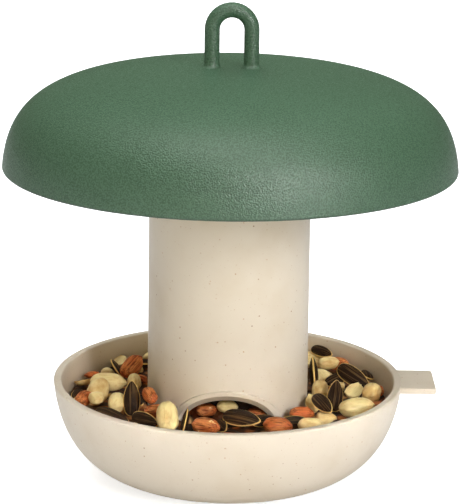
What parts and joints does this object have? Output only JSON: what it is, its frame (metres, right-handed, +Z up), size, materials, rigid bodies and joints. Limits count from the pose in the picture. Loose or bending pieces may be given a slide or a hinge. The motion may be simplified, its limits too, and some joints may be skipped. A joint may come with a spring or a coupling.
{
  "type": "hanging bird feeder",
  "caption": "Hanging bird feeder: a wide domed roof with a hanging loop on a seed tube that lets seed out through arches into a round bowl with a grip tab.",
  "frame": {"origin": "middle of the bowl's foot, on the surface that the feeder stands on", "axes": "+Z up along the tube's axis, -Y towards the front feeding arch, +X towards the grip tab"},
  "size_m": [0.2198, 0.2198, 0.2334],
  "materials": {
    "roof_plastic": "dark green moulded plastic with a fine spark-eroded grain",
    "cream_plastic": "cream moulded plastic with small brown fibre specks, satin",
    "seed_mix": "loose peanuts and striped sunflower seeds, dry"
  },
  "bodies": {
    "tube": {"seed_tube": "cream_plastic"},
    "roof": {"roof": "roof_plastic"},
    "bowl": {"bowl": "cream_plastic", "seed_bed": "seed_mix", "seed_column": "seed_mix"}
  },
  "joints": [
    {"name": "roof_twist", "type": "hinge", "parent": "tube", "child": "roof", "pos_m": [0, 0, 0.1855], "axis": [0, 0, 1], "range_deg": [0, 30]},
    {"name": "bowl_twist", "type": "hinge", "parent": "tube", "child": "bowl", "pos_m": [0, 0, 0.0115], "axis": [0, 0, -1], "range_deg": [0, 28]}
  ]
}
